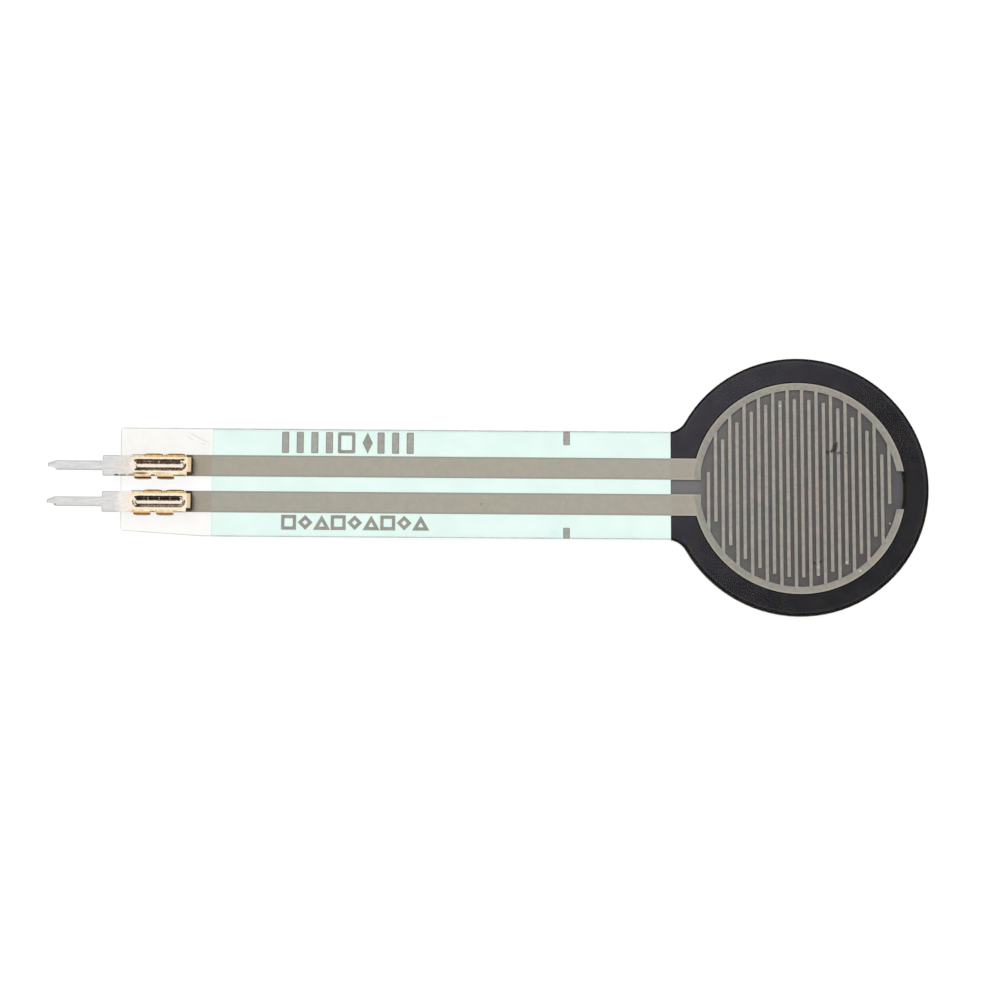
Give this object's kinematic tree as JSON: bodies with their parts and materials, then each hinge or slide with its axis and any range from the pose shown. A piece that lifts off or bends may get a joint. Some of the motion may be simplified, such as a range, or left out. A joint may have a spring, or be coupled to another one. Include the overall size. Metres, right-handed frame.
{
  "type": "force sensing resistor",
  "caption": "Round force sensing resistor: interleaved silver combs over a black carbon disc, on a clear flex tail with crimped solder contacts.",
  "frame": {"origin": "centre of the disc on the rear face", "axes": "+X from the tail towards the disc, +Y across the tail, +Z from the rear face to the electrode film"},
  "size_m": [0.0615, 0.0182, 0.001],
  "materials": {
    "clear_film": "clear gloss",
    "silver_print": "matte silver ink",
    "tail_cover": "pale green printed cover",
    "spacer_adhesive": "clear adhesive",
    "carbon": "matte carbon ink",
    "base_film": "smooth film",
    "rear_adhesive": "tacky adhesive",
    "plated_contact": "gold flash on the crimp, matte tin on the pin"
  },
  "bodies": {
    "root": {"upper_electrode": "silver_print", "lower_electrode": "silver_print", "upper_tick": "silver_print", "lower_tick": "silver_print", "code_bar_1": "silver_print", "code_bar_2": "silver_print", "code_bar_3": "silver_print", "code_bar_4": "silver_print", "code_bar_5": "silver_print", "code_bar_6": "silver_print", "code_bar_7": "silver_print", "code_frame": "silver_print", "code_lozenge": "silver_print", "margin_square_1": "silver_print", "margin_lozenge_2": "silver_print", "margin_triangle_3": "silver_print", "margin_square_4": "silver_print", "margin_lozenge_5": "silver_print", "margin_triangle_6": "silver_print", "margin_square_7": "silver_print", "margin_lozenge_8": "silver_print", "margin_triangle_9": "silver_print", "electrode_film": "clear_film", "tail_cover": "tail_cover", "spacer": "spacer_adhesive", "carbon_layer": "carbon", "resistive_film": "base_film", "rear_adhesive": "rear_adhesive", "upper_contact": "plated_contact", "lower_contact": "plated_contact"}
  },
  "joints": []
}
